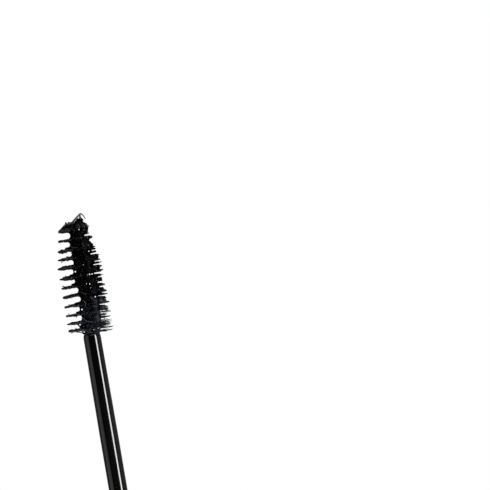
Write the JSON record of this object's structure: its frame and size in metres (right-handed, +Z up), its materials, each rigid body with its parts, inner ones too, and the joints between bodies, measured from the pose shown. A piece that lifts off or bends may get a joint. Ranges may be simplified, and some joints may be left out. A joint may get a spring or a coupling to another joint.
{
  "type": "mascara tube",
  "caption": "Round black mascara tube with its wand drawn out: glossy stem, twisted-wire brush loaded with mascara, quarter-turn cap.",
  "frame": {"origin": "centre of the tube's flat base", "axes": "+X along the common axis from the tube's base to the cap's end; +Z up with the mascara lying on its side; +Y completes the right-handed frame"},
  "size_m": [0.2563, 0.017, 0.017],
  "materials": {
    "gloss_black": "glossy moulded black plastic",
    "black_plastic": "smooth moulded black plastic",
    "label": "blank satin film label",
    "dark_metal": "anodised dark aluminium, turned",
    "soft_wiper": "soft translucent natural plastic",
    "mascara": "wet black mascara; rubber's density stands in for the paste's",
    "seal_foam": "closed-cell foam liner",
    "stem_black": "high-gloss moulded black plastic",
    "wire_steel": "drawn stainless wire",
    "bristle_nylon": "black nylon fibre",
    "white_plastic": "natural white moulded plastic"
  },
  "bodies": {
    "tube": {"outer_sleeve": "gloss_black", "base_plug": "black_plastic", "base_label": "label", "bottle": "black_plastic", "shoulder_collar": "dark_metal", "wiper": "soft_wiper", "formula": "mascara"},
    "seal": {"seal_ring": "seal_foam"},
    "wand": {"stem": "stem_black", "core_wire": "wire_steel", "formula_on_brush": "mascara", "inner_cap": "white_plastic", "cap_shell": "gloss_black", "bristle_row_01": "bristle_nylon", "bristle_row_02": "bristle_nylon", "bristle_row_03": "bristle_nylon", "bristle_row_04": "bristle_nylon", "bristle_row_05": "bristle_nylon", "bristle_row_06": "bristle_nylon", "bristle_row_07": "bristle_nylon", "bristle_row_08": "bristle_nylon", "bristle_row_09": "bristle_nylon", "bristle_row_10": "bristle_nylon", "bristle_row_11": "bristle_nylon", "bristle_row_12": "bristle_nylon"}
  },
  "joints": [
    {"name": "wand_draw", "type": "slide", "parent": "tube", "child": "seal", "axis": [1, 0, 0], "range_m": [-0.135, 0], "deforming": ["formula_on_brush", "bristle_row_01", "bristle_row_02", "bristle_row_03", "bristle_row_04", "bristle_row_05", "bristle_row_06", "bristle_row_07", "bristle_row_08", "bristle_row_09", "bristle_row_10", "bristle_row_11", "bristle_row_12"]},
    {"name": "cap_turn", "type": "hinge", "parent": "seal", "child": "wand", "pos_m": [0.2203, 0, 0], "axis": [1, 0, 0], "range_deg": [-90, 0]}
  ]
}
